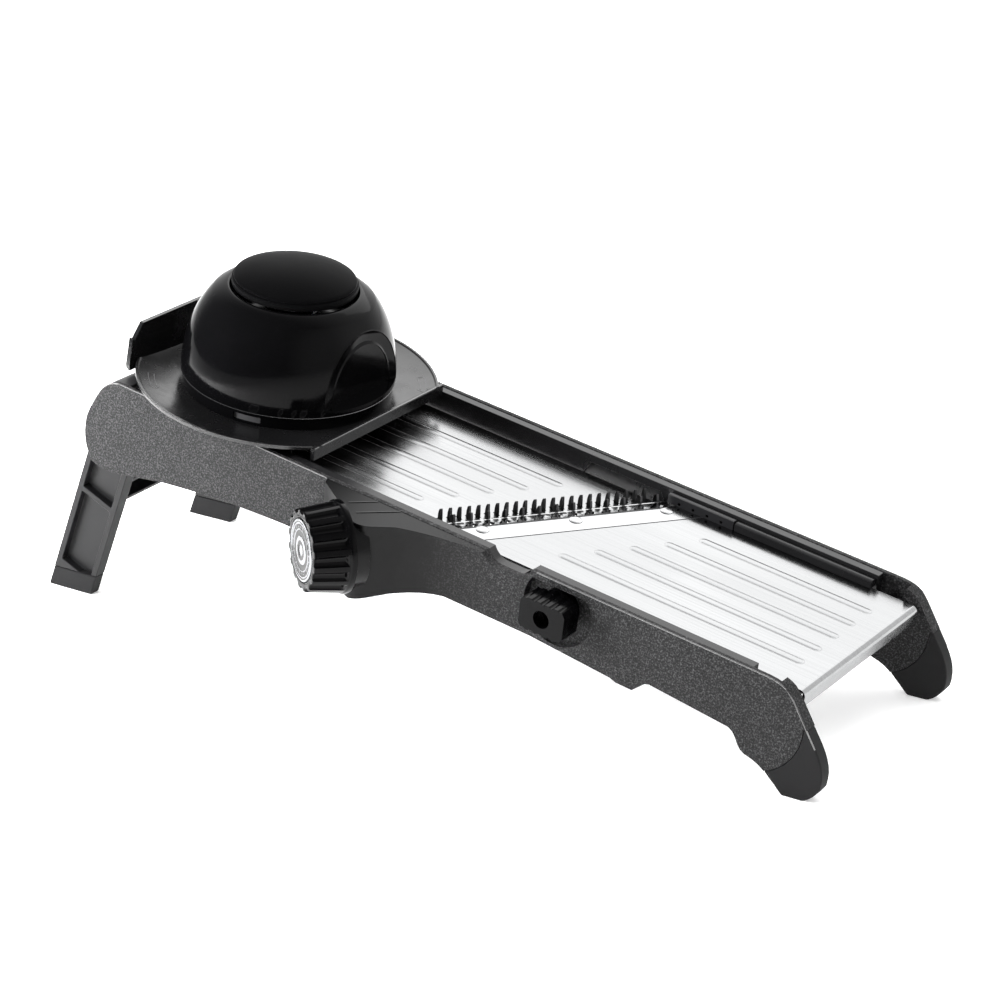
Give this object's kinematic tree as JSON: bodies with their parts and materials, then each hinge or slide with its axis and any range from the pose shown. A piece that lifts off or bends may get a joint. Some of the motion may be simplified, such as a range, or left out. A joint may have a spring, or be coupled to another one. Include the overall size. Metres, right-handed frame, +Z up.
{
  "type": "mandoline slicer",
  "caption": "Sloping kitchen slicer with steel runways, diagonal blade, thickness dial, julienne teeth, folding rear leg and sliding domed food holder.",
  "frame": {"origin": "on the resting plane under the middle of the overall box", "axes": "+X along the slicer towards its low discharge end, +Z up, +Y towards the rail opposite the thickness dial"},
  "size_m": [0.4224, 0.1668, 0.1641],
  "materials": {
    "textured_plastic": "fine spark-textured moulded plastic",
    "rail_plastic": "smooth satin plastic",
    "frame_plastic": "moulded plastic",
    "shroud_plastic": "semi-gloss moulded plastic",
    "foot_rubber": "soft matt rubber",
    "leg_plastic": "satin moulded plastic",
    "runway_steel": "brushed along the slope",
    "blade_steel": "ground and polished",
    "shaft_steel": "turned",
    "dial_plastic": "gloss moulded plastic",
    "badge_metal": "satin with dark rings",
    "holder_gloss": "high gloss",
    "cap_plastic": "satin, soft-touch"
  },
  "bodies": {
    "frame": {"near_side_panel": "textured_plastic", "far_side_panel": "textured_plastic", "near_rail_track": "rail_plastic", "far_rail_track": "rail_plastic", "far_rail_ledge": "rail_plastic", "far_rail_insert": "frame_plastic", "dial_shroud": "shroud_plastic", "near_front_foot": "foot_rubber", "far_front_foot": "foot_rubber", "front_crossbar": "frame_plastic", "rear_crossbar": "frame_plastic", "lower_runway": "runway_steel", "blade": "blade_steel", "blade_rivets": "blade_steel", "blade_carrier": "frame_plastic", "leg_pins": "shaft_steel"},
    "ramp": {"upper_runway": "runway_steel", "ramp_carrier": "frame_plastic"},
    "dial": {"dial_knob": "dial_plastic", "dial_badge": "badge_metal", "dial_shaft": "shaft_steel"},
    "julienne_selector": {"julienne_knob": "dial_plastic", "julienne_shaft": "shaft_steel"},
    "comb": {"fine_teeth_comb": "blade_steel", "coarse_teeth_comb": "blade_steel", "comb_carrier": "frame_plastic"},
    "leg": {"rear_leg": "leg_plastic", "leg_foot_pads": "foot_rubber"},
    "carriage": {"holder_base": "holder_gloss", "holder_collar": "holder_gloss", "holder_glides": "holder_gloss"},
    "dome": {"holder_dome": "holder_gloss", "press_spring": "shaft_steel"},
    "pusher": {"press_cap": "cap_plastic", "press_stem": "cap_plastic", "prong_plate": "cap_plastic", "prongs": "blade_steel"}
  },
  "joints": [
    {"name": "dial_turn", "type": "hinge", "parent": "frame", "child": "dial", "pos_m": [-0.01043, -0.05825, 0.07055], "axis": [-0.5286, -0.8434, 0.0965], "range_deg": [-75, 180]},
    {"name": "ramp_lift", "type": "slide", "parent": "frame", "child": "ramp", "axis": [0.1797, 0, 0.9837], "range_m": [-0.00599, 0.00249]},
    {"name": "julienne_turn", "type": "hinge", "parent": "frame", "child": "julienne_selector", "pos_m": [0.08687, -0.04235, 0.05675], "axis": [0, -1, 0], "range_deg": [0, 90]},
    {"name": "comb_lift", "type": "slide", "parent": "frame", "child": "comb", "axis": [0.1797, 0, 0.9837], "range_m": [-0.0064, 0.0001]},
    {"name": "leg_fold", "type": "hinge", "parent": "frame", "child": "leg", "pos_m": [-0.15655, 0.01465, 0.08758], "axis": [0, -1, 0], "range_deg": [0, 100]},
    {"name": "holder_slide", "type": "slide", "parent": "frame", "child": "carriage", "axis": [0.9837, 0, -0.1797], "range_m": [0, 0.215]},
    {"name": "dome_twist", "type": "hinge", "parent": "carriage", "child": "dome", "pos_m": [-0.09701, 0.01465, 0.11076], "axis": [0.1797, 0, 0.9837], "range_deg": [0, 20]},
    {"name": "press", "type": "slide", "parent": "dome", "child": "pusher", "axis": [-0.1797, 0, -0.9837], "range_m": [0, 0.0105], "stiffness_N_per_m": 200, "springref_m": -0.008, "deforming": ["press_spring"]}
  ],
  "couplings": [
    {"joint": "dial_turn", "follows": "ramp_lift", "rad_per_m": -523.6},
    {"joint": "comb_lift", "follows": "julienne_turn", "m_per_rad": -0.0040107}
  ]
}
